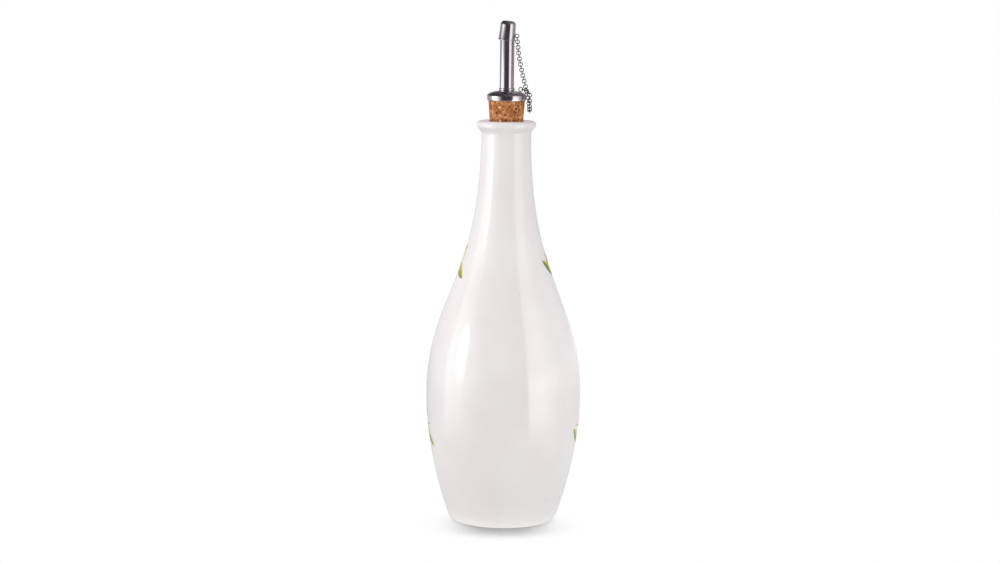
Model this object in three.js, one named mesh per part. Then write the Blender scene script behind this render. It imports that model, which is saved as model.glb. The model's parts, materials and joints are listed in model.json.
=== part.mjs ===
// Ceramic oil bottle closed by a cork pourer: a steel spout on a domed flange, and a cap on a chain.
// Millimetres, +Z up. The origin is the middle of the foot, so the bottle stands on z = 0.
// The chain hangs towards +X and a little towards -Y, beside the spout.
import * as THREE from 'three';

const degrees = THREE.MathUtils.degToRad;

// Bottle: its heights, widths and wall, then how long each curve of its outline keeps its direction
const bottleHeight = 228.8;
const bellyDiameter = 88;
const bellyHeight = 73.1;
const wall = 4.6;
const footDiameter = 54.6;
const footRingWidth = 6.2;
const footRecess = 2.2;
const floorThickness = 5;
const floorDiameter = 36;
const heelDiameter = 64.6;
const heelHeight = 6.5;
const heelAngle = degrees(19);
const neckDiameter = 28.2;
const lipDiameter = 33.6;
const lipRounding = 2.5;
const lipUnderside = 4.9;
const mouthRounding = 1.2;
const footRun = 3;
const heelRun = 3.4;
const heelToBelly = 20.2;
const bellyToHeel = 22.8;
const bellyToNeck = 55.5;
const neckToBelly = 85.3;
const bellyToFloor = 40;
const floorToBelly = 12;
const lipRun = 1.7;

// Cork
const corkMouthDiameter = 19;
const corkFlangeDiameter = 20.7;
const corkShown = 11.4;
const corkInNeck = 14;
const corkInFlange = 1.5;
const corkChamfer = 0.8;
const mouthClearance = 0.25;

// Spout and its flange
const flangeRim = 0.55;
const flangeSkirt = 2.5;
const flangeDome = 5.5;
const domeShoulder = 1.5;
const domeSlope = 3.4;
const domeFall = 0.4;
const collarWidth = 0.3;
const collarHeight = 1.25;
const tubeDiameter = 8.15;
const tubeWall = 0.5;
const tubeBelowCork = 3;
const tubeAboveFlange = 38.6;
const mouthSlant = degrees(20);
const turningClearance = 0.15;
const seatClearance = 0.2;

// Cap
const capHeight = 10.8;
const capWall = 0.2;
const capDraft = degrees(3);
const capRounding = 2.2;
const capHemWidth = 0.15;
const capHemHeight = 0.5;
const capOverlap = 4.7;
const capPlay = 0.475;
const capTouch = 0.14;

// Chain, its two eyes and its route
const linkWire = 0.45;
const linkInside = 1.8;
const linkSlack = 0.2;
const linksAcrossLoop = 3;
const chainAzimuth = degrees(-25);
const capEyeHeight = 2.9;
const flangeEyeDistance = 7.9;
const eyeClearance = 0.2;
const rimClearance = 0.35;
const loopDrop = 7;
const hangAngle = degrees(4);
const hangLength = 13;
const slantAngle = degrees(17);
const slantLength = 11;
const overRim = 2.4;

// Facets
const bottleFacets = 40;
const fittingFacets = 36;
const spoutFacets = 28;
const linkFacets = 12;
const wireFacets = 6;

// Sizes that follow from the ones above
const bellyRadius = bellyDiameter / 2;
const footRadius = footDiameter / 2;
const lipRadius = lipDiameter / 2;
const lipHeight = bottleHeight - lipRounding;
const neckTop = lipHeight - lipUnderside;
const boreRadius = corkMouthDiameter / 2 + mouthClearance;
const flangeHeight = bottleHeight + corkShown;
const corkTaper = (corkFlangeDiameter - corkMouthDiameter) / 2 / corkShown;
const corkBottom = bottleHeight - corkInNeck;
const corkTop = flangeHeight + corkInFlange;
const corkTopRadius = corkFlangeDiameter / 2 + corkTaper * corkInFlange;
const cupRadius = corkTopRadius + seatClearance;
const flangeRadius = cupRadius + flangeRim;
const tubeRadius = tubeDiameter / 2;
const tubeHole = tubeRadius + turningClearance;
const tubeTip = flangeHeight + tubeAboveFlange;
const collarRadius = tubeHole + collarWidth;
const linkRadius = (linkInside + linkWire) / 2;
const linkReach = linkRadius + linkWire / 2;
const linkPitch = linkInside - linkSlack;
const loopRadius = linksAcrossLoop * linkPitch / 2;

const finishes = {
  glaze: { color: 0xe9e5e4, roughness: 0.18, metalness: 0 },
  cork: { color: 0xb9743f, roughness: 0.9, metalness: 0 },
  steel: { color: 0xc4c1c2, roughness: 0.12, metalness: 1 },
  chainSteel: { color: 0x9a9495, roughness: 0.25, metalness: 1 },
};

function point(radius, height) {
  return new THREE.Vector2(radius, height);
}

// A smooth stretch of a turned profile, from start to end, with a handle at each of them.
function sweep(start, startHandle, endHandle, end, steps) {
  const first = start.clone().add(startHandle);
  const second = end.clone().add(endHandle);
  return new THREE.CubicBezierCurve(start, first, second, end).getPoints(steps);
}

// A quarter of an ellipse, which leaves start towards corner and reaches end from there.
function rounded(start, corner, end, steps) {
  const quarterCircle = 0.5523;
  const startHandle = corner.clone().sub(start).multiplyScalar(quarterCircle);
  const endHandle = corner.clone().sub(end).multiplyScalar(quarterCircle);
  return sweep(start, startHandle, endHandle, end, steps);
}

// A ring's profile ends where it starts.
function closed(profile) {
  return [...profile, profile[0].clone()];
}

function turned(profile, facets) {
  return new THREE.LatheGeometry(profile, facets).rotateX(Math.PI / 2);
}

function piece(name, geometry, finish) {
  const mesh = new THREE.Mesh(geometry, new THREE.MeshStandardMaterial(finishes[finish]));
  mesh.name = name;
  return mesh;
}

// The bottle is one slip-cast wall. From its foot ring a round heel leads out to the belly, and a
// long S-curve leads in to the neck and the rolled lip. The inside follows it back down to the floor.
function bottleProfile() {
  const foot = point(footRadius, 0);
  const footInside = footRadius - footRingWidth;
  const heel = point(heelDiameter / 2, heelHeight);
  const heelRise = point(Math.sin(heelAngle), Math.cos(heelAngle));
  const belly = point(bellyRadius, bellyHeight);
  const neck = point(neckDiameter / 2, neckTop);
  const lip = point(lipRadius, lipHeight);
  const lipCorner = point(lipRadius, bottleHeight);
  const lipTop = point(lipRadius - lipRounding, bottleHeight);
  const mouthTop = point(boreRadius + mouthRounding, bottleHeight);
  const mouthCorner = point(boreRadius, bottleHeight);
  const mouth = point(boreRadius, bottleHeight - mouthRounding);
  const insideNeck = point(boreRadius, neckTop);
  const insideBelly = point(bellyRadius - wall, bellyHeight);
  const floorHeight = footRecess + floorThickness;
  const floorEdge = point(floorDiameter / 2, floorHeight);
  return [
    point(0, footRecess),
    point(footInside - footRecess, footRecess),
    point(footInside, 0),
    ...sweep(foot, point(footRun, 0), heelRise.clone().multiplyScalar(-heelRun), heel, 3),
    ...sweep(heel, heelRise.clone().multiplyScalar(heelToBelly), point(0, -bellyToHeel), belly, 9).slice(1),
    ...sweep(belly, point(0, bellyToNeck), point(0, -neckToBelly), neck, 15).slice(1),
    ...sweep(neck, point(0, lipRun), point(0, -lipRun), lip, 5).slice(1),
    ...rounded(lip, lipCorner, lipTop, 4).slice(1),
    ...rounded(mouthTop, mouthCorner, mouth, 2),
    ...sweep(insideNeck, point(0, -neckToBelly), point(0, bellyToNeck), insideBelly, 10),
    ...sweep(insideBelly, point(0, -bellyToFloor), point(floorToBelly, 0), floorEdge, 7).slice(1),
    point(0, floorHeight),
  ];
}

// The cork tapers from the flange down into the neck, and has a hole for the spout.
function corkProfile() {
  const bottomRadius = corkMouthDiameter / 2 - corkTaper * corkInNeck;
  return closed([
    point(tubeHole, corkBottom),
    point(bottomRadius - corkChamfer, corkBottom),
    point(bottomRadius, corkBottom + corkChamfer),
    point(corkTopRadius, corkTop),
    point(tubeHole, corkTop),
  ]);
}

// The flange is a domed steel disc, hollowed below so that its skirt laps over the cork's top. Its
// dome rises from the skirt to the spout in one curve, which is also read for the eye's height.
const domeFoot = point(flangeRadius, flangeHeight + flangeSkirt);
const domeTop = point(collarRadius, flangeHeight + flangeDome);
const dome = sweep(domeFoot, point(0, domeShoulder), point(domeSlope, -domeFall), domeTop, 8);

function domeHeightAt(radius) {
  const outer = dome.findLastIndex((spot) => spot.x >= radius);
  const low = dome[outer];
  const high = dome[outer + 1];
  return THREE.MathUtils.mapLinear(radius, low.x, high.x, low.y, high.y);
}

function flangeProfile() {
  const cupTop = corkTop + seatClearance;
  return closed([
    point(tubeHole, cupTop),
    point(cupRadius, cupTop),
    point(cupRadius, flangeHeight),
    point(flangeRadius, flangeHeight),
    ...dome,
    point(tubeHole, domeTop.y),
  ]);
}

// The collar is a round bead on the spout, just above the flange.
function collarProfile() {
  const low = domeTop.y + seatClearance;
  const high = low + collarHeight;
  const edge = point(collarRadius, (low + high) / 2);
  return closed([
    ...rounded(point(tubeHole, low), point(collarRadius, low), edge, 3),
    ...rounded(edge, point(collarRadius, high), point(tubeHole, high), 3).slice(1),
  ]);
}

// The spout is a straight tube through the cork, cut on a slant at its mouth. The tip of the mouth
// is on the side away from the chain, so that oil doesn't run over the chain.
function spoutGeometry() {
  const bottom = corkBottom - tubeBelowCork;
  const inside = tubeRadius - tubeWall;
  const profile = [
    point(inside, bottom),
    point(tubeRadius, bottom),
    point(tubeRadius, tubeTip),
    point(inside, tubeTip),
  ];
  const geometry = turned(closed(profile), spoutFacets);
  const places = geometry.attributes.position;
  for (let index = 0; index < places.count; index += 1) {
    const height = places.getZ(index);
    if (height > flangeHeight) {
      const fall = (tubeRadius + places.getX(index)) * Math.tan(mouthSlant);
      places.setZ(index, height - fall);
    }
  }
  return geometry.rotateZ(chainAzimuth);
}

// The cap is a drawn steel thimble, a little wider at its mouth, with an out-turned hem there. It has
// play on the spout, and its chain pulls it over as far as that play lets it, until it almost touches
// the spout at its mouth on one side and at the spout's tip on the other.
const capMouthRadius = tubeRadius + capPlay + capWall;
const capNarrowing = Math.tan(capDraft);
const capLeanSlope = (2 * capPlay - capNarrowing * capOverlap - 2 * capTouch) / capOverlap;
const capLean = Math.atan(capLeanSlope);
const capLeanHeight = (capPlay - capTouch) / capLeanSlope;

function capRadiusAt(height) {
  return capMouthRadius - capNarrowing * height;
}

// The cap's own origin is where its axis crosses the spout's.
function capProfile() {
  const mouth = capRadiusAt(0);
  const hem = mouth + capHemWidth;
  const hemTop = capHemHeight + capHemWidth;
  const shoulderHeight = capHeight - capRounding;
  const shoulder = capRadiusAt(shoulderHeight);
  const crown = shoulder - capRounding;
  const ceiling = capHeight - capWall;
  const lining = shoulder - capWall;
  const profile = [
    point(0, ceiling),
    ...rounded(point(crown, ceiling), point(lining, ceiling), point(lining, shoulderHeight), 4),
    point(mouth - capWall, 0),
    point(hem, 0),
    point(hem, capHemHeight),
    point(capRadiusAt(hemTop), hemTop),
    ...rounded(point(shoulder, shoulderHeight), point(shoulder, capHeight), point(crown, capHeight), 4),
    point(0, capHeight),
  ];
  return profile.map((spot) => point(spot.x, spot.y - capLeanHeight));
}

function ringGeometry() {
  return new THREE.TorusGeometry(linkRadius, linkWire / 2, wireFacets, linkFacets);
}

const bottle = new THREE.Group();
bottle.add(piece('bottle_body', turned(bottleProfile(), bottleFacets), 'glaze'));
bottle.add(piece('cork_stopper', turned(corkProfile(), fittingFacets), 'cork'));
bottle.add(piece('pourer_flange', turned(flangeProfile(), fittingFacets), 'steel'));
bottle.add(piece('spout_collar', turned(collarProfile(), spoutFacets), 'steel'));
bottle.add(piece('pour_spout', spoutGeometry(), 'steel'));

const cap = new THREE.Group();
cap.position.set(0, 0, tubeTip - capOverlap + capLeanHeight);
cap.rotation.set(0, capLean, chainAzimuth, 'ZYX');
cap.add(piece('pour_cap', turned(capProfile(), spoutFacets), 'steel'));

// The chain's upper eye is a ring on the cap's side.
const capEye = piece('cap_eye', ringGeometry(), 'chainSteel');
capEye.rotation.x = Math.PI / 2;
capEye.position.x = capRadiusAt(capEyeHeight) + eyeClearance + linkReach;
capEye.position.z = capEyeHeight - capLeanHeight;
cap.add(capEye);
bottle.add(cap);
bottle.updateMatrixWorld(true);

// The chain leaves the cap's eye, slants out to the flange's rim, hangs below it in a narrow loop
// and comes back over the rim to the flange's eye. The loop lies in a plane across the X axis.
class HalfTurn extends THREE.Curve {
  constructor(centre, radius) {
    super();
    this.centre = centre;
    this.radius = radius;
  }

  getPoint(share, target = new THREE.Vector3()) {
    const angle = Math.PI * share;
    const across = -this.radius * Math.cos(angle);
    const down = -this.radius * Math.sin(angle);
    return target.set(0, across, down).add(this.centre);
  }
}

const outward = new THREE.Vector3(Math.cos(chainAzimuth), Math.sin(chainAzimuth), 0);

// A step down and outward, at an angle from the vertical.
function slanted(angle, length) {
  const step = outward.clone().multiplyScalar(length * Math.sin(angle));
  return step.setZ(-length * Math.cos(angle));
}

const chainDistance = flangeRadius + linkReach + rimClearance;
const loopHeight = flangeHeight - loopDrop + linkReach + loopRadius;
const capEyeSpot = capEye.getWorldPosition(new THREE.Vector3());
const frontRim = outward.clone().multiplyScalar(chainDistance);
frontRim.z = flangeHeight + flangeSkirt + linkReach;
const frontLeg = new THREE.Vector3(chainDistance, chainDistance * Math.tan(chainAzimuth), loopHeight);
const loopCentre = frontLeg.clone().setY(frontLeg.y + loopRadius);
const backLeg = frontLeg.clone().setY(frontLeg.y + 2 * loopRadius);
const backRim = backLeg.clone().setZ(flangeHeight + flangeSkirt);
const flangeEyeSpot = new THREE.Vector3(flangeEyeDistance, backLeg.y, 0);
flangeEyeSpot.z = domeHeightAt(flangeEyeSpot.length()) + eyeClearance + linkReach;

const afterCapEye = capEyeSpot.clone().add(slanted(hangAngle, hangLength));
const beforeRim = frontRim.clone().sub(slanted(slantAngle, slantLength));
const aboveRim = backRim.clone().setZ(backRim.z + overRim);
const beforeFlangeEye = flangeEyeSpot.clone().setX(flangeEyeSpot.x + overRim);
const route = new THREE.CurvePath();
route.add(new THREE.CubicBezierCurve3(capEyeSpot, afterCapEye, beforeRim, frontRim));
route.add(new THREE.LineCurve3(frontRim, frontLeg));
route.add(new HalfTurn(loopCentre, loopRadius));
route.add(new THREE.LineCurve3(backLeg, backRim));
route.add(new THREE.CubicBezierCurve3(backRim, aboveRim, beforeFlangeEye, flangeEyeSpot));

// Every second link is turned a quarter about the route, as in any chain of round links. Both eyes
// stand upright, so the number of steps from one eye to the other is even.
const chainSteps = 2 * Math.round(route.getLength() / linkPitch / 2);
const frames = route.computeFrenetFrames(chainSteps);
for (let step = 1; step < chainSteps; step += 1) {
  const link = piece(`chain_link_${String(step).padStart(2, '0')}`, ringGeometry(), 'chainSteel');
  const along = frames.tangents[step];
  const facing = step % 2 === 0 ? frames.normals[step] : frames.binormals[step];
  const turn = new THREE.Matrix4().makeBasis(along, facing.clone().cross(along), facing);
  link.setRotationFromMatrix(turn);
  link.position.copy(route.getPointAt(step / chainSteps));
  bottle.add(link);
}

// The chain's lower eye is a ring that stands on the flange's dome.
const flangeEye = piece('flange_eye', ringGeometry(), 'chainSteel');
flangeEye.rotation.x = Math.PI / 2;
flangeEye.position.copy(flangeEyeSpot);
bottle.add(flangeEye);

export default bottle;
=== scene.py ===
# Ceramic oil bottle with a cork pourer: the looks of its pieces, on the frame of its solids.
import json
import math

import bmesh
import bpy
import numpy as np
from mathutils import Matrix, Vector, noise
from mathutils.geometry import interpolate_bezier


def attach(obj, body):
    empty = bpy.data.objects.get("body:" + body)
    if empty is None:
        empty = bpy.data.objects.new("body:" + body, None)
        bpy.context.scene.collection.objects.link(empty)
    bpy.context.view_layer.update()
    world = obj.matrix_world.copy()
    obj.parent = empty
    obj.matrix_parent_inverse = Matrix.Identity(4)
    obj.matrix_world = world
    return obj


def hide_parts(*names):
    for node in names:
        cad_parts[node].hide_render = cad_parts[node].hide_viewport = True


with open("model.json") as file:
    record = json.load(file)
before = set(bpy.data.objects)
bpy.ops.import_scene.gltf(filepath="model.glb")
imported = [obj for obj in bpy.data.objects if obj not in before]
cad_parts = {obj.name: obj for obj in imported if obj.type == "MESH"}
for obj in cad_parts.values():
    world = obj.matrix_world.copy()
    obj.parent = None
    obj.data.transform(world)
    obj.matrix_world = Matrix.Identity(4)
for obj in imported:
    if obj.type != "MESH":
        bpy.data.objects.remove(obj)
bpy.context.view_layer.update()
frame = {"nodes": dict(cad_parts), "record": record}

# Bottle
# A stoneware bottle, slip-cast in one even wall: a foot ring, a round heel and belly, and a long
# S-curve up to the neck and its rolled lip. It is dipped in white glaze, and its foot is wiped bare.
# Sizes of the object are in millimetres, and MM turns them to Blender's metres.
MM = 0.001
BOTTLE_HEIGHT = 228.8
BELLY_RADIUS = 44
BELLY_HEIGHT = 73.1
WALL = 4.6
FOOT_RADIUS = 27.3
FOOT_RING_WIDTH = 6.2
FOOT_RECESS = 2.2
FLOOR_THICKNESS = 5
FLOOR_RADIUS = 18
HEEL_RADIUS = 32.3
HEEL_HEIGHT = 6.5
HEEL_ANGLE = math.radians(19)
NECK_RADIUS = 14.1
BORE_RADIUS = 9.75
LIP_RADIUS = 16.8
LIP_ROUNDING = 2.5
LIP_UNDERSIDE = 4.9
LIP_FLAT = 0.7
MOUTH_ROUNDING = 1.2

# How far the curve of the wall keeps its direction on its way out of each point.
FOOT_RUN = 3
HEEL_RUN = 3.4
HEEL_TO_BELLY = 20.2
BELLY_TO_HEEL = 22.8
BELLY_TO_NECK = 55.5
NECK_TO_BELLY = 85.3
LIP_RUN = 1.7
BELLY_TO_FLOOR = 40
FLOOR_TO_BELLY = 12

# Corners closer than this are one corner, and edges sharper than this stay crisp.
MERGE_WITHIN = 0.002
CRISP_FROM = math.radians(35)


def sweep(start, start_handle, end_handle, end, steps):
    """A smooth stretch of an outline. A handle says which way, and how far, it keeps its direction."""
    start, end = Vector(start), Vector(end)
    return interpolate_bezier(start, start + Vector(start_handle), end + Vector(end_handle), end, steps)


def rounded(start, corner, end, steps=8):
    """A quarter of an ellipse, which leaves start towards corner and reaches end from there."""
    quarter_circle = 0.5523
    start, corner, end = Vector(start), Vector(corner), Vector(end)
    return sweep(start, (corner - start) * quarter_circle, (corner - end) * quarter_circle, end, steps)


def turned(name, outline, facets):
    """A mesh turned about Z from an outline of radii and heights, closed on itself or on the axis."""
    shape = bmesh.new()
    corners = [shape.verts.new((radius * MM, 0, height * MM)) for radius, height in outline]
    edges = [shape.edges.new(pair) for pair in zip(corners, corners[1:])]
    bmesh.ops.spin(shape, geom=corners + edges, axis=(0, 0, 1), cent=(0, 0, 0), angle=math.tau,
                   steps=facets, use_merge=True)
    bmesh.ops.remove_doubles(shape, verts=shape.verts, dist=MERGE_WITHIN * MM)
    bmesh.ops.recalc_face_normals(shape, faces=shape.faces)
    mesh = bpy.data.meshes.new(name)
    shape.to_mesh(mesh)
    shape.free()
    mesh.shade_smooth()
    mesh.set_sharp_from_angle(angle=CRISP_FROM)
    return mesh


def place(name, mesh, material, slot, body, *nodes):
    """Puts a finished piece into the scene, in place of its solids, on the body that it moves with."""
    piece = bpy.data.objects.new(name, mesh)
    bpy.context.scene.collection.objects.link(piece)
    if material:
        mesh.materials.append(material)
    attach(piece, body)
    if nodes:
        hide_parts(*nodes)


def linear(hex_colour):
    """A colour written as sRGB hex, as the linear values that a shader takes."""
    channels = [int(hex_colour[start:start + 2], 16) / 255 for start in (1, 3, 5)]
    return (*[c / 12.92 if c <= 0.04045 else ((c + 0.055) / 1.055) ** 2.4 for c in channels], 1)


def add(tree, kind, inputs=None, **settings):
    """Adds a node with its settings. An input is a value, or the socket that feeds it."""
    node = tree.nodes.new(kind)
    for setting, value in settings.items():
        setattr(node, setting, value)
    for socket, value in (inputs or {}).items():
        if isinstance(value, bpy.types.NodeSocket):
            tree.links.new(value, node.inputs[socket])
        else:
            node.inputs[socket].default_value = value
    return node


def new_material(name):
    """A material with an empty tree."""
    material = bpy.data.materials.new(name)
    material.use_nodes = True
    material.node_tree.nodes.clear()
    return material, material.node_tree


lip_height = BOTTLE_HEIGHT - LIP_ROUNDING
neck_top = lip_height - LIP_UNDERSIDE
foot_inside = FOOT_RADIUS - FOOT_RING_WIDTH
floor_height = FOOT_RECESS + FLOOR_THICKNESS
heel = Vector((HEEL_RADIUS, HEEL_HEIGHT))
heel_rise = Vector((math.sin(HEEL_ANGLE), math.cos(HEEL_ANGLE)))
belly = (BELLY_RADIUS, BELLY_HEIGHT)
belly_inside = (BELLY_RADIUS - WALL, BELLY_HEIGHT)
neck = (NECK_RADIUS, neck_top)
side = [
    *sweep(heel, HEEL_TO_BELLY * heel_rise, (0, -BELLY_TO_HEEL), belly, steps=28),
    *sweep(belly, (0, BELLY_TO_NECK), (0, -NECK_TO_BELLY), neck, steps=56),
]
bottle_outline = [
    (0, FOOT_RECESS),
    (foot_inside - FOOT_RECESS, FOOT_RECESS),
    (foot_inside, 0),
    *sweep((FOOT_RADIUS, 0), (FOOT_RUN, 0), -HEEL_RUN * heel_rise, heel, steps=12),
    *side,
    *sweep(neck, (0, LIP_RUN), (0, -LIP_RUN), (LIP_RADIUS, lip_height), steps=16),
    *rounded((LIP_RADIUS, lip_height + LIP_FLAT), (LIP_RADIUS, BOTTLE_HEIGHT),
             (LIP_RADIUS - LIP_ROUNDING, BOTTLE_HEIGHT), steps=12),
    *rounded((BORE_RADIUS + MOUTH_ROUNDING, BOTTLE_HEIGHT), (BORE_RADIUS, BOTTLE_HEIGHT),
             (BORE_RADIUS, BOTTLE_HEIGHT - MOUTH_ROUNDING)),
    *sweep((BORE_RADIUS, neck_top), (0, -NECK_TO_BELLY), (0, BELLY_TO_NECK), belly_inside, steps=30),
    *sweep(belly_inside, (0, -BELLY_TO_FLOOR), (FLOOR_TO_BELLY, 0), (FLOOR_RADIUS, floor_height), steps=20),
    (0, floor_height),
]

# White glaze, glossy from the kiln. It lies a little thick and thin, so its white drifts slightly and
# reflections waver, and a few fine specks of iron show in it. Under the foot ring the bare clay shows.
GLAZE_THIN = linear("#EBE6E5")
GLAZE_THICK = linear("#F0EDED")
GLAZE_ROUGHNESS = 0.04
DRIFT_SIZE = 45
DRIFT_LOW = 0.35
DRIFT_HIGH = 0.65
WAVER_SIZE = 14
WAVER_DEPTH = 0.1
IRON_COLOUR = linear("#9C8C80")
IRON_SHOWS = 0.6
IRON_SPACING = 9
IRON_RADIUS = 0.315
IRON_CORE = 0.18
CLAY_DARK = linear("#BCA78A")
CLAY_PALE = linear("#E8DCC9")
CLAY_ROUGHNESS = 0.85
CLAY_GRIT = 0.9
GLAZE_FROM = 0.2
GLAZE_FULL = 0.4

glaze, tree = new_material("White glaze on stoneware")
spot = add(tree, "ShaderNodeTexCoord").outputs["Object"]
drift = add(tree, "ShaderNodeTexNoise", {
    "Vector": spot, "Scale": 1 / (DRIFT_SIZE * MM), "Detail": 2,
}).outputs["Fac"]
thickness = add(tree, "ShaderNodeMapRange", {
    "Value": drift, "From Min": DRIFT_LOW, "From Max": DRIFT_HIGH,
}).outputs[0]
white = add(tree, "ShaderNodeMix", {
    "Factor": thickness, "A": GLAZE_THIN, "B": GLAZE_THICK,
}, data_type="RGBA").outputs["Result"]
from_iron = add(tree, "ShaderNodeTexVoronoi", {
    "Vector": spot, "Scale": 1 / (IRON_SPACING * MM),
}).outputs["Distance"]
is_iron = add(tree, "ShaderNodeMapRange", {
    "Value": from_iron,
    "From Min": IRON_RADIUS / IRON_SPACING,
    "From Max": IRON_CORE / IRON_SPACING,
    "To Max": IRON_SHOWS,
}).outputs[0]
specked = add(tree, "ShaderNodeMix", {
    "Factor": is_iron, "A": white, "B": IRON_COLOUR,
}, data_type="RGBA").outputs["Result"]
grit = add(tree, "ShaderNodeTexNoise", {
    "Vector": spot, "Scale": 1 / (CLAY_GRIT * MM), "Detail": 4,
}).outputs["Fac"]
clay = add(tree, "ShaderNodeMix", {
    "Factor": grit, "A": CLAY_DARK, "B": CLAY_PALE,
}, data_type="RGBA").outputs["Result"]
above_table = add(tree, "ShaderNodeSeparateXYZ", {"Vector": spot}).outputs["Z"]
is_bare = add(tree, "ShaderNodeMapRange", {
    "Value": above_table, "From Min": GLAZE_FULL * MM, "From Max": GLAZE_FROM * MM,
}).outputs[0]
colour = add(tree, "ShaderNodeMix", {
    "Factor": is_bare, "A": specked, "B": clay,
}, data_type="RGBA").outputs["Result"]
roughness = add(tree, "ShaderNodeMapRange", {
    "Value": is_bare, "To Min": GLAZE_ROUGHNESS, "To Max": CLAY_ROUGHNESS,
}).outputs[0]
waver = add(tree, "ShaderNodeTexNoise", {
    "Vector": spot, "Scale": 1 / (WAVER_SIZE * MM), "Detail": 1,
}).outputs["Fac"]
bump = add(tree, "ShaderNodeBump", {
    "Height": waver, "Strength": 0.2, "Distance": WAVER_DEPTH * MM,
}).outputs["Normal"]
shader = add(tree, "ShaderNodeBsdfPrincipled", {
    "Base Color": colour,
    "Roughness": roughness,
    "Normal": bump,
    "IOR": 1.68,
})
add(tree, "ShaderNodeOutputMaterial", {"Surface": shader.outputs["BSDF"]})

place("bottle", turned("bottle", bottle_outline, facets=160), glaze, "glaze", "bottle", "bottle_body")

# Painted garlands
# Two garlands of plain leaves, brushed on the far side of the bottle in green and yellow enamel and fired
# on. Each leaf is one stroke of a loaded brush, so it is a thin raised skin that follows the bottle's side.
PAINT_THICKNESS = 0.14
PAINT_SUNK = 0.06
PAINT_MERGE_WITHIN = 0.001
STROKE_STEPS = 20
STROKE_ROWS = 8
STROKE_NARROWING = 0.8
STROKE_THINNING = 0.5
LEAF_LENGTH = 21
LEAF_WIDTH = 7
LEAF_LEAN = math.radians(58)
LEAF_FROM_STEM = 6.5
STEM_WIDTH = 1.1
STEM_OVERLAP = 1.2
GARLAND_START = math.radians(80)
GARLAND_END = math.radians(280)
GARLANDS = [
    {"height": 152, "sag": 22, "leaves": 13},
    {"height": 56, "sag": 12, "leaves": 17},
]

side_heights = [point.y for point in side]
side_radii = [point.x for point in side]
paint = bmesh.new()
yellow = paint.verts.layers.float.new("yellow")


def brush(bearing, height, lean, length, width):
    """One stroke on the bottle's side. Bearings turn from the front to the right, lean is from upright."""
    middle_radius = np.interp(height, side_heights, side_radii)
    for outer in (True, False):
        skin = []
        for step in range(STROKE_STEPS + 1):
            along = step / STROKE_STEPS
            fullness = math.sin(math.pi * along)
            upward = (along - 0.5) * length
            row = []
            for bristle in range(STROKE_ROWS + 1):
                across = 2 * bristle / STROKE_ROWS - 1
                sideways = across * fullness ** STROKE_NARROWING * width / 2
                turn = bearing + (sideways * math.cos(lean) + upward * math.sin(lean)) / middle_radius
                level = height + upward * math.cos(lean) - sideways * math.sin(lean)
                swell = (1 - across ** 2) * fullness ** STROKE_THINNING
                depth = (PAINT_THICKNESS + PAINT_SUNK) * swell if outer else -PAINT_SUNK * swell
                radius = np.interp(level, side_heights, side_radii) + depth - PAINT_SUNK
                spot = (radius * math.sin(turn), -radius * math.cos(turn), level)
                vertex = paint.verts.new(Vector(spot) * MM)
                vertex[yellow] = (across + 1) / 2
                row.append(vertex)
            skin.append(row)
        for row, following in zip(skin, skin[1:]):
            for corner in range(STROKE_ROWS):
                paint.faces.new((row[corner], row[corner + 1], following[corner + 1], following[corner]))


garland_turn = GARLAND_END - GARLAND_START
for garland in GARLANDS:
    gaps = garland["leaves"] - 1
    for leaf in range(garland["leaves"]):
        share = leaf / gaps
        bearing = GARLAND_START + garland_turn * share
        height = garland["height"] - garland["sag"] * math.sin(math.pi * share)
        radius = np.interp(height, side_heights, side_radii)
        upper = 1 if leaf % 2 else -1
        brush(bearing, height + upper * LEAF_FROM_STEM, upper * LEAF_LEAN, LEAF_LENGTH, LEAF_WIDTH)
        stem_length = garland_turn / gaps * radius * STEM_OVERLAP
        stem_fall = garland["sag"] * math.pi * math.cos(math.pi * share) / (garland_turn * radius)
        brush(bearing, height, math.pi / 2 + stem_fall, stem_length, STEM_WIDTH)
bmesh.ops.remove_doubles(paint, verts=paint.verts, dist=PAINT_MERGE_WITHIN * MM)
bmesh.ops.dissolve_degenerate(paint, edges=paint.edges, dist=PAINT_MERGE_WITHIN * MM)
bmesh.ops.recalc_face_normals(paint, faces=paint.faces)
garland_mesh = bpy.data.meshes.new("garlands")
paint.to_mesh(garland_mesh)
paint.free()
garland_mesh.shade_smooth()

# Green enamel with yellow on one side of the brush. The bristles leave streaks, and it is nearly as
# glossy as the glaze.
LEAF_GREEN = linear("#6E8A1E")
LEAF_YELLOW = linear("#D9CB35")
STREAK_SIZE = 2.5
YELLOW_FROM = 0.85
YELLOW_FULL = 1.4

enamel, tree = new_material("Green and yellow enamel")
spot = add(tree, "ShaderNodeTexCoord").outputs["Object"]
yellow_side = add(tree, "ShaderNodeAttribute", attribute_name="yellow").outputs["Fac"]
streak = add(tree, "ShaderNodeTexNoise", {
    "Vector": spot, "Scale": 1 / (STREAK_SIZE * MM), "Detail": 3,
}).outputs["Fac"]
streaked = add(tree, "ShaderNodeMath", {0: yellow_side, 1: streak}, operation="ADD").outputs[0]
blend = add(tree, "ShaderNodeMapRange", {
    "Value": streaked, "From Min": YELLOW_FROM, "From Max": YELLOW_FULL,
}).outputs[0]
colour = add(tree, "ShaderNodeMix", {
    "Factor": blend, "A": LEAF_GREEN, "B": LEAF_YELLOW,
}, data_type="RGBA").outputs["Result"]
shader = add(tree, "ShaderNodeBsdfPrincipled", {"Base Color": colour, "Roughness": 0.08, "IOR": 1.52})
add(tree, "ShaderNodeOutputMaterial", {"Surface": shader.outputs["BSDF"]})

place("garlands", garland_mesh, enamel, "glaze", "bottle")

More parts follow.
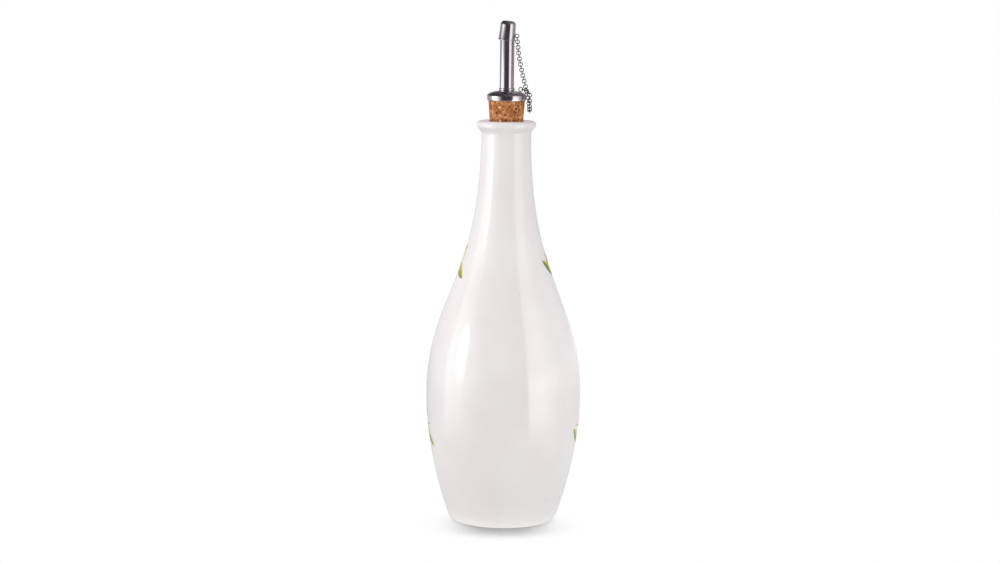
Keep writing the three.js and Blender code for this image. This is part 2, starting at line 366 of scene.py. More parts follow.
# Cork
# A tapered stopper, pressed from cork granules and sanded smooth, with a hole for the spout.
# Small pits stay where crumbs broke out, and dark bark and painted shade lie in them.
CORK_SHOWN = 11.4
CORK_IN_NECK = 14
CORK_IN_FLANGE = 1.5
CORK_MOUTH_RADIUS = 9.5
CORK_FLANGE_RADIUS = 10.35
CORK_EDGE = 0.8
CORK_RINGS = 80
SPOUT_RADIUS = 4.075
TURNING_CLEARANCE = 0.15
PIT_SIZE = 1.0
PIT_DEPTH = 1.0
PIT_RARITY = 0.36

flange_height = BOTTLE_HEIGHT + CORK_SHOWN
cork_taper = (CORK_FLANGE_RADIUS - CORK_MOUTH_RADIUS) / CORK_SHOWN
cork_bottom = BOTTLE_HEIGHT - CORK_IN_NECK
cork_top = flange_height + CORK_IN_FLANGE
cork_bottom_radius = CORK_MOUTH_RADIUS - cork_taper * CORK_IN_NECK
cork_top_radius = CORK_FLANGE_RADIUS + cork_taper * CORK_IN_FLANGE
spout_hole = SPOUT_RADIUS + TURNING_CLEARANCE
side_foot = Vector((cork_bottom_radius, cork_bottom + CORK_EDGE))
side_top = Vector((cork_top_radius, cork_top))
cork_outline = [
    (spout_hole, cork_bottom),
    *rounded((cork_bottom_radius - CORK_EDGE, cork_bottom), (cork_bottom_radius, cork_bottom), side_foot),
    *[side_foot.lerp(side_top, ring / CORK_RINGS) for ring in range(1, CORK_RINGS + 1)],
    (spout_hole, cork_top),
    (spout_hole, cork_bottom),
]
cork_mesh = turned("cork", cork_outline, facets=200)
pit_depths = []
for vertex in cork_mesh.vertices:
    outward = Vector((vertex.co.x, vertex.co.y, 0))
    crumb_gone = max(noise.noise(vertex.co / (PIT_SIZE * MM)) - PIT_RARITY, 0)
    if outward.length < (spout_hole + CORK_EDGE) * MM:
        crumb_gone = 0
    vertex.co -= outward.normalized() * crumb_gone * PIT_DEPTH * MM
    pit_depths.append(crumb_gone)
cork_mesh.attributes.new("pit", "FLOAT", "POINT").data.foreach_set("value", pit_depths)

# Pressed cork: granules of a millimetre or two, each with its own shade of tan, with dark seams of binder
# between them, pale flecks, and dark bark with painted shade in the pits. It is matt.
GRANULE_DARK = linear("#95532A")
GRANULE_TAN = linear("#D58F56")
GRANULE_PALE = linear("#E6B07C")
GRANULE_SIZE = 1.7
BEND_SIZE = 1.5
BEND_REACH = 1.1
PALE_FROM = 0.76
PALE_FULL = 0.98
GRAIN_SIZE = 0.6
GRAIN_LOW = 0.3
GRAIN_HIGH = 0.7
GRAIN_DARKEST = 0.55
GRAIN_PALEST = 1.5
SEAM_COLOUR = linear("#5C2C12")
SEAM_SHOWS = 0.55
SEAM_HALF_WIDTH = 0.136
SEAM_CORE = 0.017
BARK_AND_SHADE_COLOUR = linear("#351A0C")
BARK_AND_SHADE_SHOWS = 0.9
BARK_AND_SHADE_FROM = 0.02
BARK_AND_SHADE_FULL = 0.1
CORK_RELIEF = 0.2

cork_material, tree = new_material("Pressed cork")
spot = add(tree, "ShaderNodeTexCoord").outputs["Object"]
bend = add(tree, "ShaderNodeTexNoise", {
    "Vector": spot, "Scale": 1 / (BEND_SIZE * MM), "Detail": 2,
}).outputs["Color"]
bent = add(tree, "ShaderNodeVectorMath", {
    0: bend, 1: (BEND_REACH * MM,) * 3, 2: spot,
}, operation="MULTIPLY_ADD").outputs[0]
granule = add(tree, "ShaderNodeTexVoronoi", {
    "Vector": bent, "Scale": 1 / (GRANULE_SIZE * MM),
}).outputs["Color"]
from_seam = add(tree, "ShaderNodeTexVoronoi", {
    "Vector": bent, "Scale": 1 / (GRANULE_SIZE * MM),
}, feature="DISTANCE_TO_EDGE").outputs["Distance"]
shade = add(tree, "ShaderNodeSeparateColor", {"Color": granule}).outputs
darker = add(tree, "ShaderNodeMix", {
    "Factor": shade["Red"], "A": GRANULE_DARK, "B": GRANULE_TAN,
}, data_type="RGBA").outputs["Result"]
is_pale = add(tree, "ShaderNodeMapRange", {
    "Value": shade["Green"], "From Min": PALE_FROM, "From Max": PALE_FULL,
}).outputs[0]
tan = add(tree, "ShaderNodeMix", {
    "Factor": is_pale, "A": darker, "B": GRANULE_PALE,
}, data_type="RGBA").outputs["Result"]
grain = add(tree, "ShaderNodeTexNoise", {
    "Vector": spot, "Scale": 1 / (GRAIN_SIZE * MM), "Detail": 3,
}).outputs["Fac"]
grain_tone = add(tree, "ShaderNodeMapRange", {
    "Value": grain,
    "From Min": GRAIN_LOW,
    "From Max": GRAIN_HIGH,
    "To Min": GRAIN_DARKEST,
    "To Max": GRAIN_PALEST,
}).outputs[0]
grained = add(tree, "ShaderNodeVectorMath", {0: tan, "Scale": grain_tone}, operation="SCALE").outputs[0]
in_seam = add(tree, "ShaderNodeMapRange", {
    "Value": from_seam,
    "From Min": SEAM_HALF_WIDTH / GRANULE_SIZE,
    "From Max": SEAM_CORE / GRANULE_SIZE,
    "To Max": SEAM_SHOWS,
}).outputs[0]
seamed = add(tree, "ShaderNodeMix", {
    "Factor": in_seam, "A": grained, "B": SEAM_COLOUR,
}, data_type="RGBA").outputs["Result"]
# Dark bark and painted shade: the deeper a pit, the darker it is coloured.
pit = add(tree, "ShaderNodeAttribute", attribute_name="pit").outputs["Fac"]
bark_and_shade = add(tree, "ShaderNodeMapRange", {
    "Value": pit, "From Min": BARK_AND_SHADE_FROM, "From Max": BARK_AND_SHADE_FULL, "To Max": BARK_AND_SHADE_SHOWS,
}).outputs[0]
colour = add(tree, "ShaderNodeMix", {
    "Factor": bark_and_shade, "A": seamed, "B": BARK_AND_SHADE_COLOUR,
}, data_type="RGBA").outputs["Result"]
relief = add(tree, "ShaderNodeMath", {0: from_seam, 1: grain}, operation="ADD").outputs[0]
bump = add(tree, "ShaderNodeBump", {
    "Height": relief, "Strength": 0.6, "Distance": CORK_RELIEF * MM,
}).outputs["Normal"]
shader = add(tree, "ShaderNodeBsdfPrincipled", {
    "Base Color": colour,
    "Normal": bump,
    "Roughness": 0.85,
    "IOR": 1.45,
})
add(tree, "ShaderNodeOutputMaterial", {"Surface": shader.outputs["BSDF"]})

place("cork", cork_mesh, cork_material, "cork", "stopper", "cork_stopper")

# Flange and collar
# The flange is a steel disc, pressed to a low dome, with a skirt that laps over the cork's top and turns
# in at its foot. The collar is the bead that the spout was flared to, which holds it down on the flange.
SEAT_CLEARANCE = 0.2
FLANGE_RIM = 0.55
FLANGE_SKIRT = 2.5
RIM_TURNED_IN = 0.45
RIM_TURN_HEIGHT = 1.6
FLANGE_DOME = 5.5
DOME_SHOULDER = 1.5
DOME_SLOPE = 3.4
DOME_FALL = 0.4
COLLAR_WIDTH = 0.3
COLLAR_HEIGHT = 1.25

cup_radius = cork_top_radius + SEAT_CLEARANCE
cup_top = cork_top + SEAT_CLEARANCE
flange_radius = cup_radius + FLANGE_RIM
collar_radius = spout_hole + COLLAR_WIDTH
dome_top = flange_height + FLANGE_DOME
skirt_top = (flange_radius, flange_height + FLANGE_SKIRT)
flange_outline = [
    (spout_hole, cup_top),
    (cup_radius, cup_top),
    (cup_radius, flange_height),
    *rounded((flange_radius - RIM_TURNED_IN, flange_height), (flange_radius, flange_height),
             (flange_radius, flange_height + RIM_TURN_HEIGHT)),
    *sweep(skirt_top, (0, DOME_SHOULDER), (DOME_SLOPE, -DOME_FALL), (collar_radius, dome_top), steps=32),
    (spout_hole, dome_top),
    (spout_hole, cup_top),
]
collar_low = dome_top + SEAT_CLEARANCE
collar_high = collar_low + COLLAR_HEIGHT
collar_edge = (collar_radius, (collar_low + collar_high) / 2)
collar_outline = [
    *rounded((spout_hole, collar_low), (collar_radius, collar_low), collar_edge),
    *rounded(collar_edge, (collar_radius, collar_high), (spout_hole, collar_high)),
    (spout_hole, collar_low),
]

# Stainless steel, polished to a mirror on a wheel. Faint polishing lines run round it, and handling
# leaves it a little less bright in patches.
STEEL_DARK = linear("#CDCACC")
STEEL_PALE = linear("#DAD8D9")
STEEL_SMOOTHEST = 0.07
STEEL_ROUGHEST = 0.15
PATCH_SIZE = 6
LINE_WIDTH = 0.5
LINE_LENGTH = 10
LINE_DEPTH = 0.01

steel, tree = new_material("Polished stainless steel")
spot = add(tree, "ShaderNodeTexCoord").outputs["Object"]
drawn_out = add(tree, "ShaderNodeMapping", {
    "Vector": spot, "Scale": (LINE_WIDTH / LINE_LENGTH, LINE_WIDTH / LINE_LENGTH, 1),
}).outputs["Vector"]
lines = add(tree, "ShaderNodeTexNoise", {
    "Vector": drawn_out, "Scale": 1 / (LINE_WIDTH * MM), "Detail": 3,
}).outputs["Fac"]
patch = add(tree, "ShaderNodeTexNoise", {
    "Vector": spot, "Scale": 1 / (PATCH_SIZE * MM), "Detail": 3,
}).outputs["Fac"]
colour = add(tree, "ShaderNodeMix", {
    "Factor": patch, "A": STEEL_DARK, "B": STEEL_PALE,
}, data_type="RGBA").outputs["Result"]
roughness = add(tree, "ShaderNodeMapRange", {
    "Value": patch, "To Min": STEEL_SMOOTHEST, "To Max": STEEL_ROUGHEST,
}).outputs[0]
bump = add(tree, "ShaderNodeBump", {
    "Height": lines, "Strength": 0.05, "Distance": LINE_DEPTH * MM,
}).outputs["Normal"]
shader = add(tree, "ShaderNodeBsdfPrincipled", {
    "Base Color": colour,
    "Metallic": 1,
    "Roughness": roughness,
    "Normal": bump,
})
add(tree, "ShaderNodeOutputMaterial", {"Surface": shader.outputs["BSDF"]})

place("flange", turned("flange", flange_outline, facets=144), steel, "steel", "pourer", "pourer_flange")
place("collar", turned("collar", collar_outline, facets=96), steel, "steel", "pourer", "spout_collar")

# Spout
# A thin-walled steel tube, pushed through the cork. Its mouth is cut on a slant, with the tip on the
# side away from the chain, and its edges are broken.
SPOUT_WALL = 0.5
SPOUT_BELOW_CORK = 3
SPOUT_ABOVE_FLANGE = 38.6
SPOUT_EDGE = 0.15
MOUTH_SLANT = math.radians(20)
CHAIN_AZIMUTH = math.radians(-25)

spout_bottom = cork_bottom - SPOUT_BELOW_CORK
spout_tip = flange_height + SPOUT_ABOVE_FLANGE
spout_inside = SPOUT_RADIUS - SPOUT_WALL
edge_foot = spout_tip - SPOUT_EDGE
spout_outline = [
    (spout_inside, spout_bottom),
    (SPOUT_RADIUS, spout_bottom),
    *rounded((SPOUT_RADIUS, edge_foot), (SPOUT_RADIUS, spout_tip),
             (SPOUT_RADIUS - SPOUT_EDGE, spout_tip), steps=4),
    *rounded((spout_inside + SPOUT_EDGE, spout_tip), (spout_inside, spout_tip),
             (spout_inside, edge_foot), steps=4),
    (spout_inside, spout_bottom),
]
spout_mesh = turned("spout", spout_outline, facets=96)
for vertex in spout_mesh.vertices:
    if vertex.co.z > flange_height * MM:
        vertex.co.z -= (SPOUT_RADIUS * MM + vertex.co.x) * math.tan(MOUTH_SLANT)
spout_mesh.transform(Matrix.Rotation(CHAIN_AZIMUTH, 4, "Z"))

place("spout", spout_mesh, steel, "steel", "pourer", "pour_spout")

# Cap
# A thimble drawn from thin steel sheet, a little wider at its mouth, where its edge is turned out to a
# hem. It has play on the spout, and its chain pulls it over.
CAP_HEIGHT = 10.8
CAP_WALL = 0.2
CAP_DRAFT = math.radians(3)
CAP_ROUNDING = 2.2
CAP_HEM_WIDTH = 0.15
CAP_HEM_HEIGHT = 0.5
CAP_HEM_RUN = 0.2
CAP_WALL_RUN = 0.15
CAP_OVERLAP = 4.7
CAP_PLAY = 0.475
CAP_TOUCH = 0.14

cap_mouth = SPOUT_RADIUS + CAP_PLAY + CAP_WALL
cap_lean_slope = (2 * CAP_PLAY - math.tan(CAP_DRAFT) * CAP_OVERLAP - 2 * CAP_TOUCH) / CAP_OVERLAP
cap_lean_height = (CAP_PLAY - CAP_TOUCH) / cap_lean_slope
cap_shoulder_height = CAP_HEIGHT - CAP_ROUNDING
cap_shoulder = cap_mouth - math.tan(CAP_DRAFT) * cap_shoulder_height
cap_crown = cap_shoulder - CAP_ROUNDING
cap_lining = cap_shoulder - CAP_WALL
cap_ceiling = CAP_HEIGHT - CAP_WALL
cap_hem = cap_mouth + CAP_HEM_WIDTH
hem_edge = (cap_hem, CAP_HEM_HEIGHT / 2)
hem_top_height = CAP_HEM_HEIGHT + CAP_HEM_WIDTH
hem_top = (cap_mouth - math.tan(CAP_DRAFT) * hem_top_height, hem_top_height)
cap_outline = [
    (0, cap_ceiling),
    *rounded((cap_crown, cap_ceiling), (cap_lining, cap_ceiling),
             (cap_lining, cap_shoulder_height), steps=10),
    (cap_mouth - CAP_WALL, 0),
    (cap_mouth, 0),
    *rounded((cap_mouth, 0), (cap_hem, 0), hem_edge, steps=5),
    *sweep(hem_edge, (0, CAP_HEM_RUN), (0, -CAP_WALL_RUN), hem_top, steps=6),
    *rounded((cap_shoulder, cap_shoulder_height), (cap_shoulder, CAP_HEIGHT),
             (cap_crown, CAP_HEIGHT), steps=12),
    (0, CAP_HEIGHT),
]
cap_mesh = turned("cap", cap_outline, facets=96)
cap_mesh.transform(Matrix.Translation((0, 0, -cap_lean_height * MM)))
cap_mesh.transform(Matrix.Rotation(math.atan(cap_lean_slope), 4, "Y"))
cap_mesh.transform(Matrix.Rotation(CHAIN_AZIMUTH, 4, "Z"))
cap_mesh.transform(Matrix.Translation((0, 0, (spout_tip - CAP_OVERLAP + cap_lean_height) * MM)))

place("cap", cap_mesh, steel, "steel", "cap", "pour_cap")

# Chain and its eyes
# Round links of fine steel wire, each through the next, from the eye on the cap's side to the eye on
# the flange's dome. Each link is bent from wire, and takes its place from its solid.
LINK_RADIUS = 1.125
LINK_FACETS = 32
WIRE_RADIUS = 0.245
WIRE_FACETS = 12

# Steel wire, drawn and left unpolished. It is a darker grey than the spout, with small glints, and paler
# and less sharp where links rub.
WIRE_DARK = linear("#4E4645")
WIRE_RUBBED = linear("#9C9694")
WIRE_SMOOTHEST = 0.15
WIRE_ROUGHEST = 0.4
RUB_SIZE = 0.8

wire, tree = new_material("Drawn steel wire")
spot = add(tree, "ShaderNodeTexCoord").outputs["Object"]
rub = add(tree, "ShaderNodeTexNoise", {
    "Vector": spot, "Scale": 1 / (RUB_SIZE * MM), "Detail": 3,
}).outputs["Fac"]
colour = add(tree, "ShaderNodeMix", {
    "Factor": rub, "A": WIRE_DARK, "B": WIRE_RUBBED,
}, data_type="RGBA").outputs["Result"]
roughness = add(tree, "ShaderNodeMapRange", {
    "Value": rub, "To Min": WIRE_SMOOTHEST, "To Max": WIRE_ROUGHEST,
}).outputs[0]
shader = add(tree, "ShaderNodeBsdfPrincipled", {"Base Color": colour, "Metallic": 1, "Roughness": roughness})
add(tree, "ShaderNodeOutputMaterial", {"Surface": shader.outputs["BSDF"]})

links = bpy.data.node_groups.new("Round links", "GeometryNodeTree")
links.interface.new_socket("Middles", in_out="INPUT", socket_type="NodeSocketGeometry")
link_radius = links.interface.new_socket("Link radius", in_out="INPUT", socket_type="NodeSocketFloat")
wire_radius = links.interface.new_socket("Wire radius", in_out="INPUT", socket_type="NodeSocketFloat")
links.interface.new_socket("Links", in_out="OUTPUT", socket_type="NodeSocketGeometry")
given = add(links, "NodeGroupInput").outputs
ring = add(links, "GeometryNodeCurvePrimitiveCircle", {
    "Resolution": LINK_FACETS, "Radius": given["Link radius"],
}).outputs["Curve"]
section = add(links, "GeometryNodeCurvePrimitiveCircle", {
    "Resolution": WIRE_FACETS, "Radius": given["Wire radius"],
}).outputs["Curve"]
link = add(links, "GeometryNodeCurveToMesh", {"Curve": ring, "Profile Curve": section}).outputs["Mesh"]
facing = add(links, "GeometryNodeInputNamedAttribute", {"Name": "facing"}, data_type="FLOAT_VECTOR")
turn = add(links, "FunctionNodeAlignRotationToVector", {"Vector": facing.outputs["Attribute"]}, axis="Z")
copies = add(links, "GeometryNodeInstanceOnPoints", {
    "Points": given["Middles"], "Instance": link, "Rotation": turn.outputs["Rotation"],
}).outputs["Instances"]
real = add(links, "GeometryNodeRealizeInstances", {"Geometry": copies}).outputs["Geometry"]
coated = add(links, "GeometryNodeSetMaterial", {"Geometry": real, "Material": wire}).outputs["Geometry"]
add(links, "NodeGroupOutput", {"Links": coated})

for body, nodes in frame["record"]["behaviour"]["bodies"].items():
    rings = [node for node in nodes if node.startswith("chain_link") or node.endswith("_eye")]
    if not rings:
        continue
    middles, facings = [], []
    for node in rings:
        corners = np.array([vertex.co for vertex in frame["nodes"][node].data.vertices])
        middle = corners.mean(axis=0)
        directions_by_spread = np.linalg.eigh(np.cov((corners - middle).T))[1].T
        middles.append(middle)
        facings.append(directions_by_spread[0])
    name = f"{body}_links"
    seeds = bpy.data.meshes.new(name)
    seeds.from_pydata(middles, [], [])
    seeds.attributes.new("facing", "FLOAT_VECTOR", "POINT").data.foreach_set("vector", np.ravel(facings))
    maker = bpy.data.objects.new(name, seeds)
    bpy.context.scene.collection.objects.link(maker)
    modifier = maker.modifiers.new("Round links", "NODES")
    modifier.node_group = links
    modifier[link_radius.identifier] = LINK_RADIUS * MM
    modifier[wire_radius.identifier] = WIRE_RADIUS * MM
    made = maker.evaluated_get(bpy.context.evaluated_depsgraph_get())
    mesh = bpy.data.meshes.new_from_object(made)
    mesh.shade_smooth()
    bpy.data.objects.remove(maker)
    place(name, mesh, None, "chain_steel", body, *rings)

# Table and background
# A round table under the bottle, covered with white paper, which runs into a white background. The bottle's
# contact shadow is painted on the paper by ambient occlusion leaned to the back, so it falls forward,
# deepest in front of the foot and weaker to the sides. Sizes from here on are in metres.
TABLE_RADIUS = 1.6
SHADOW_LEAN = {"Y": 0.98, "Z": 0.2}
SHADOW_REACH = 0.029
OPEN_SKY = 0.9
SHUT_SKY = 0.42
SHADOW_FADING = 2.2
SHADOW_DEPTH = 0.34
SHADOW_MIDDLE = 0.014
SHADOW_SIDE = 0.04
SHADOW_AT_SIDE = 0.4
HEEL_LIGHT = 0.6
HEEL_LIGHT_REACH = 0.043
MIRRORED_TABLE = 0.72
PAPER_TONE = linear("#BEBEBE")
AMBIENT = 0.81

table_mesh = bpy.data.meshes.new("table")
shape = bmesh.new()
bmesh.ops.create_circle(shape, cap_ends=True, radius=TABLE_RADIUS, segments=96)
shape.to_mesh(table_mesh)
shape.free()
table = bpy.data.objects.new("table", table_mesh)
bpy.context.scene.collection.objects.link(table)

# White paper, matt and plain. To the eye it is the background's white with a painted shadow of the bottle,
# and round the foot it glows as painted light up at the heel. Glossy surfaces show it a little less white.
paper, tree = new_material("White paper")
path = add(tree, "ShaderNodeLightPath").outputs
spot = add(tree, "ShaderNodeTexCoord").outputs["Object"]
# Painted shadow: ambient occlusion, leaned to the back, darkens the seen paper in front of the foot.
shadow_lean = add(tree, "ShaderNodeCombineXYZ", SHADOW_LEAN).outputs[0]
open_sky = add(tree, "ShaderNodeAmbientOcclusion", {
    "Distance": SHADOW_REACH, "Normal": shadow_lean,
}, samples=8).outputs["AO"]
shut = add(tree, "ShaderNodeMapRange", {
    "Value": open_sky, "From Min": OPEN_SKY, "From Max": SHUT_SKY,
}).outputs[0]
fading = add(tree, "ShaderNodeMath", {0: shut, 1: SHADOW_FADING}, operation="POWER").outputs[0]
sideways = add(tree, "ShaderNodeSeparateXYZ", {"Vector": spot}).outputs["X"]
aside = add(tree, "ShaderNodeMath", {0: sideways}, operation="ABSOLUTE").outputs[0]
side_share = add(tree, "ShaderNodeMapRange", {
    "Value": aside,
    "From Min": SHADOW_MIDDLE,
    "From Max": SHADOW_SIDE,
    "To Min": 1,
    "To Max": SHADOW_AT_SIDE,
}).outputs[0]
narrowed = add(tree, "ShaderNodeMath", {0: fading, 1: side_share}, operation="MULTIPLY").outputs[0]
shadow = add(tree, "ShaderNodeMapRange", {
    "Value": narrowed, "To Min": 1, "To Max": SHADOW_DEPTH,
}).outputs[0]
seen_paper = add(tree, "ShaderNodeEmission", {"Strength": shadow}).outputs[0]
mirrored_paper = add(tree, "ShaderNodeEmission", {"Strength": MIRRORED_TABLE}).outputs[0]
from_axis = add(tree, "ShaderNodeVectorMath", {0: spot}, operation="LENGTH").outputs["Value"]
# Painted light: the paper glows round the foot, so that the heel is lit from below.
heel_light = add(tree, "ShaderNodeMapRange", {
    "Value": from_axis,
    "From Min": FOOT_RADIUS * MM,
    "From Max": HEEL_LIGHT_REACH,
    "To Min": HEEL_LIGHT,
    "To Max": 0,
}).outputs[0]
lit_paper = add(tree, "ShaderNodeBsdfPrincipled", {
    "Base Color": PAPER_TONE,
    "Roughness": 1,
    "Specular IOR Level": 0,
    "Emission Color": (1, 1, 1, 1),
    "Emission Strength": heel_light,
}).outputs["BSDF"]
is_mirrored = add(tree, "ShaderNodeMath", {
    0: path["Is Glossy Ray"], 1: path["Is Transmission Ray"],
}, operation="MAXIMUM").outputs[0]
unseen = add(tree, "ShaderNodeMixShader", {0: is_mirrored, 1: lit_paper, 2: mirrored_paper}).outputs[0]
surface = add(tree, "ShaderNodeMixShader", {0: path["Is Camera Ray"], 1: unseen, 2: seen_paper}).outputs[0]
add(tree, "ShaderNodeOutputMaterial", {"Surface": surface})
table_mesh.materials.append(paper)

# The background is plain white to the eye and in reflections, and lights the bottle a little less.
background = bpy.data.worlds.new("White background")
background.use_nodes = True
bpy.context.scene.world = background
tree = background.node_tree
tree.nodes.clear()
path = add(tree, "ShaderNodeLightPath").outputs
is_mirrored = add(tree, "ShaderNodeMath", {
    0: path["Is Glossy Ray"], 1: path["Is Transmission Ray"],
}, operation="MAXIMUM").outputs[0]
is_seen = add(tree, "ShaderNodeMath", {
    0: path["Is Camera Ray"], 1: is_mirrored,
}, operation="MAXIMUM").outputs[0]
level = add(tree, "ShaderNodeMapRange", {"Value": is_seen, "To Min": AMBIENT, "To Max": 1}).outputs[0]
sky = add(tree, "ShaderNodeBackground", {"Color": (1, 1, 1, 1), "Strength": level}).outputs[0]
add(tree, "ShaderNodeOutputWorld", {"Surface": sky})

# Studio
# A round tent of dark cloth, which only glossy surfaces show. Its glow is painted light: like a panel on
# each side and less behind, with one small bright spot on the left. Soft lamps, which don't show, light the
# bottle.
TENT_RADIUS = 0.5
TENT_HEIGHT = 0.9
TENT_SEGMENTS = 72
TENT_FLOOR_HEIGHT = 0.001
TENT_FLOOR_FROM = 0.1
TENT_FLOOR_FULL = 0.32
TENT_SHADE = 0.032
PANEL_FADE_FROM = 0.22
PANEL_TOP = 0.52
RIGHT_PANEL_TALLER = 0.36
PANEL_PEAK = 2.5
LOW_RIGHT_FROM = 0.16
LOW_RIGHT_FULL = 0.05
LOW_RIGHT_MORE = 1.1
WALL_FOOT = 0.1
FLOOR_SHARE = 0.72
ROOF_LEFT = 0.07
ROOF_RIGHT = 0.2
GLOW_SPOT_BEARING = math.radians(-67)
GLOW_SPOT_HEIGHT = 0.2
GLOW_SPOT_HALF_WIDTH = 0.1
GLOW_SPOT_HALF_HEIGHT = 0.15
GLOW_SPOT_CORE = 0.4
GLOW_SPOT_LIGHT = 3.6
DIM_CLOTH = linear("#F6DCF6")
BRIGHT_CLOTH = linear("#FFFDFC")

# How brightly the cloth glows at each bearing, in degrees from the front to the right.
GLOW_BY_BEARING = {
    -180: 0.6, -160: 0.7, -142: 0.55, -120: 0.45, -98: 0.75, -90: 1.95, -64: 2.0, -54: 1.0,
    -44: 0.75, -36: 0.28, -30: 0.1, -20: 0.04, 12: 0.035, 24: 0.06, 35: 0.15, 37: 1.25,
    44: 1.4, 58: 1.45, 75: 0.8, 94: 0.4, 120: 0.38, 142: 0.4, 160: 0.5, 180: 0.6,
}

tent_mesh = bpy.data.meshes.new("tent")
shape = bmesh.new()
hoops = []
for radius, height in (
    (TENT_FLOOR_FROM, TENT_FLOOR_HEIGHT), (TENT_RADIUS, TENT_FLOOR_HEIGHT), (TENT_RADIUS, TENT_HEIGHT),
):
    hoop = bmesh.ops.create_circle(shape, radius=radius, segments=TENT_SEGMENTS)["verts"]
    bmesh.ops.translate(shape, verts=hoop, vec=(0, 0, height))
    hoops.append(hoop)
for lower, upper in zip(hoops, hoops[1:]):
    for corner in range(TENT_SEGMENTS):
        shape.faces.new((lower[corner - 1], lower[corner], upper[corner], upper[corner - 1]))
shape.faces.new(hoops[-1])
shape.to_mesh(tent_mesh)
shape.free()
tent = bpy.data.objects.new("tent", tent_mesh)
bpy.context.scene.collection.objects.link(tent)

# Dark cloth that glows, as painted light in place of lamps outside it. It gives the glaze and the steel
# two bright stripes with soft ends, the right one taller and brighter near the floor, and a dark middle
# with a faint violet cast. Its floor thins out to nothing round the bottle.
cloth, tree = new_material("Dark tent cloth")
spot = add(tree, "ShaderNodeTexCoord").outputs["Object"]
along = add(tree, "ShaderNodeSeparateXYZ", {"Vector": spot}).outputs
front = add(tree, "ShaderNodeMath", {0: along["Y"], 1: -1}, operation="MULTIPLY").outputs[0]
bearing = add(tree, "ShaderNodeMath", {0: along["X"], 1: front}, operation="ARCTAN2").outputs[0]
turn = add(tree, "ShaderNodeMapRange", {
    "Value": bearing, "From Min": -math.pi, "From Max": math.pi,
}).outputs[0]
panel = add(tree, "ShaderNodeValToRGB", {"Fac": turn})
stops = panel.color_ramp.elements
while len(stops) < len(GLOW_BY_BEARING):
    stops.new(1)
for stop, (degrees, glow) in zip(stops, GLOW_BY_BEARING.items()):
    stop.position = (degrees + 180) / 360
    stop.color = (*[glow / PANEL_PEAK] * 3, 1)
is_right = add(tree, "ShaderNodeMath", {0: along["X"], 1: 0}, operation="GREATER_THAN").outputs[0]
panel_top = add(tree, "ShaderNodeMath", {
    0: is_right, 1: RIGHT_PANEL_TALLER, 2: PANEL_TOP,
}, operation="MULTIPLY_ADD").outputs[0]
below_top = add(tree, "ShaderNodeMapRange", {
    "Value": along["Z"], "From Min": panel_top, "From Max": PANEL_FADE_FROM,
}, interpolation_type="SMOOTHSTEP").outputs[0]
above_floor = add(tree, "ShaderNodeMapRange", {
    "Value": along["Z"], "From Min": TENT_FLOOR_HEIGHT, "From Max": WALL_FOOT, "To Min": FLOOR_SHARE,
}).outputs[0]
upright = add(tree, "ShaderNodeMath", {0: below_top, 1: above_floor}, operation="MULTIPLY").outputs[0]
side_light = add(tree, "ShaderNodeMath", {
    0: panel.outputs["Color"], 1: upright,
}, operation="MULTIPLY").outputs[0]
low_right = add(tree, "ShaderNodeMapRange", {
    "Value": along["Z"], "From Min": LOW_RIGHT_FROM, "From Max": LOW_RIGHT_FULL, "To Max": LOW_RIGHT_MORE,
}, interpolation_type="SMOOTHSTEP").outputs[0]
more = add(tree, "ShaderNodeMath", {0: low_right, 1: is_right, 2: 1}, operation="MULTIPLY_ADD").outputs[0]
panel_light = add(tree, "ShaderNodeMath", {0: side_light, 1: more}, operation="MULTIPLY").outputs[0]
roof_tone = add(tree, "ShaderNodeMapRange", {
    "Value": along["X"],
    "From Min": -TENT_RADIUS / 2,
    "From Max": TENT_RADIUS / 2,
    "To Min": ROOF_LEFT,
    "To Max": ROOF_RIGHT,
}).outputs[0]
roof_light = add(tree, "ShaderNodeMapRange", {
    "Value": below_top, "To Min": roof_tone, "To Max": TENT_SHADE,
}).outputs[0]
# Painted light: a soft spot on the cloth at the left glows brighter, in place of a small lamp.
glow_spot = (TENT_RADIUS * math.sin(GLOW_SPOT_BEARING), -TENT_RADIUS * math.cos(GLOW_SPOT_BEARING), GLOW_SPOT_HEIGHT)
from_glow_spot = add(tree, "ShaderNodeVectorMath", {0: spot, 1: glow_spot}, operation="SUBTRACT").outputs[0]
in_glow_spot = add(tree, "ShaderNodeVectorMath", {
    0: from_glow_spot, 1: (GLOW_SPOT_HALF_WIDTH, GLOW_SPOT_HALF_WIDTH, GLOW_SPOT_HALF_HEIGHT),
}, operation="DIVIDE").outputs[0]
off_centre = add(tree, "ShaderNodeVectorMath", {0: in_glow_spot}, operation="LENGTH").outputs["Value"]
glow_spot_light = add(tree, "ShaderNodeMapRange", {
    "Value": off_centre, "From Min": 1, "From Max": GLOW_SPOT_CORE, "To Max": GLOW_SPOT_LIGHT,
}, interpolation_type="SMOOTHSTEP").outputs[0]
glow_spot_and_roof = add(tree, "ShaderNodeMath", {0: glow_spot_light, 1: roof_light}, operation="ADD").outputs[0]
light = add(tree, "ShaderNodeMath", {
    0: panel_light, 1: PANEL_PEAK, 2: glow_spot_and_roof,
}, operation="MULTIPLY_ADD").outputs[0]
colour = add(tree, "ShaderNodeMix", {
    "Factor": light, "A": DIM_CLOTH, "B": BRIGHT_CLOTH,
}, data_type="RGBA", clamp_factor=True).outputs["Result"]
glowing = add(tree, "ShaderNodeEmission", {"Color": colour, "Strength": light}).outputs[0]
reach = add(tree, "ShaderNodeVectorMath", {0: spot}, operation="LENGTH").outputs["Value"]
cover = add(tree, "ShaderNodeMapRange", {
    "Value": reach, "From Min": TENT_FLOOR_FROM, "From Max": TENT_FLOOR_FULL,
}, interpolation_type="SMOOTHSTEP").outputs[0]
clear = add(tree, "ShaderNodeBsdfTransparent").outputs[0]
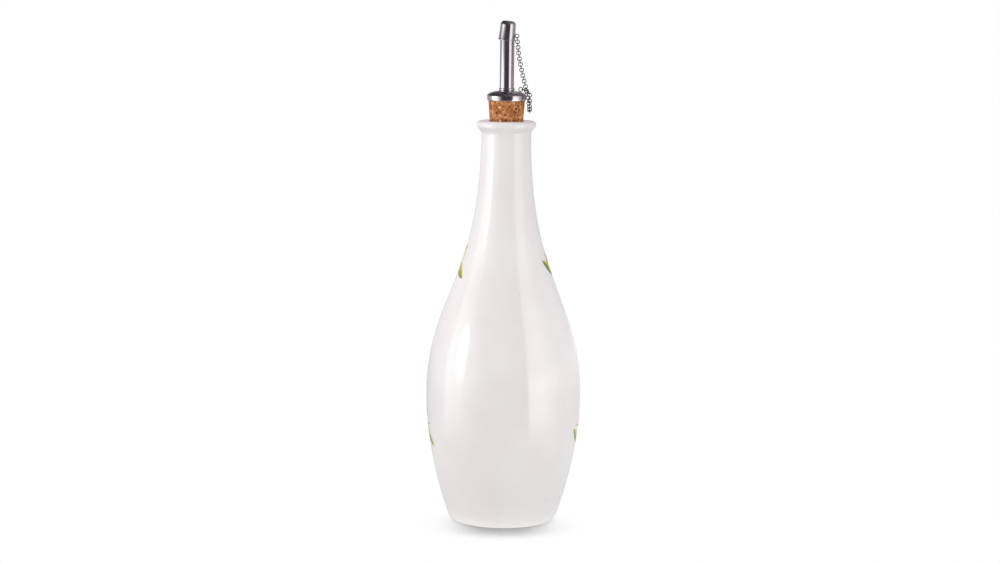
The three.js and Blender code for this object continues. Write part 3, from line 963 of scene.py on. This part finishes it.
surface = add(tree, "ShaderNodeMixShader", {0: cover, 1: clear, 2: glowing}).outputs[0]
add(tree, "ShaderNodeOutputMaterial", {"Surface": surface})
tent_mesh.materials.append(cloth)
tent.visible_camera = False
tent.visible_diffuse = False
tent.visible_shadow = False

# Square soft boxes, which face the bottle's middle and which no surface shows.
SOFT_BOXES = {
    "left_lamp": {"place": (-0.8, -0.15, 0.45), "width": 0.7, "radiance": 1.2},
    "low_right_lamp": {"place": (0.26, -0.13, 0.05), "width": 0.2, "radiance": 1.75},
    "left_rim_lamp": {"place": (-0.6, 0.5, 0.2), "width": 0.6, "radiance": 1.0},
    "right_rim_lamp": {"place": (0.6, 0.5, 0.05), "width": 0.6, "radiance": 2.2},
    "front_lamp": {"place": (-0.45, -1.1, 0.04), "width": 0.5, "radiance": 5.8},
}
bottle_middle = Vector((0, 0, BOTTLE_HEIGHT * MM / 2))
for name, soft_box in SOFT_BOXES.items():
    lamp = bpy.data.lights.new(name, "AREA")
    lamp.size = soft_box["width"]
    lamp.energy = soft_box["radiance"] * math.pi * soft_box["width"] ** 2
    box = bpy.data.objects.new(name, lamp)
    bpy.context.scene.collection.objects.link(box)
    box.location = soft_box["place"]
    box.rotation_euler = (bottle_middle - box.location).to_track_quat("-Z", "Y").to_euler()
    box.visible_camera = False
    box.visible_glossy = False

# View
# A camera 1.4 m in front of the bottle and a little above its cap, which looks down by about 7 degrees
# and is rolled by less than one. Its long lens is fitted to the photograph. Angles are in radians.
VIEW_PLACE = (0, -1.4, 0.3193)
VIEW_DOWN = 0.1294
VIEW_ROLL = 0.0114
VIEW_SENSOR = 36
VIEW_LENS = 89.23
VIEW_SHIFT = -0.0046

view = bpy.data.cameras.new("view")
view.sensor_fit = "HORIZONTAL"
view.sensor_width = VIEW_SENSOR
view.lens = VIEW_LENS
view.shift_x = VIEW_SHIFT
camera = bpy.data.objects.new("view", view)
bpy.context.scene.collection.objects.link(camera)
down = Matrix.Rotation(math.pi / 2 - VIEW_DOWN, 4, "X")
roll = Matrix.Rotation(VIEW_ROLL, 4, "Z")
camera.matrix_world = Matrix.Translation(VIEW_PLACE) @ down @ roll
bpy.context.scene.camera = camera
bpy.context.scene.view_settings.view_transform = "Standard"
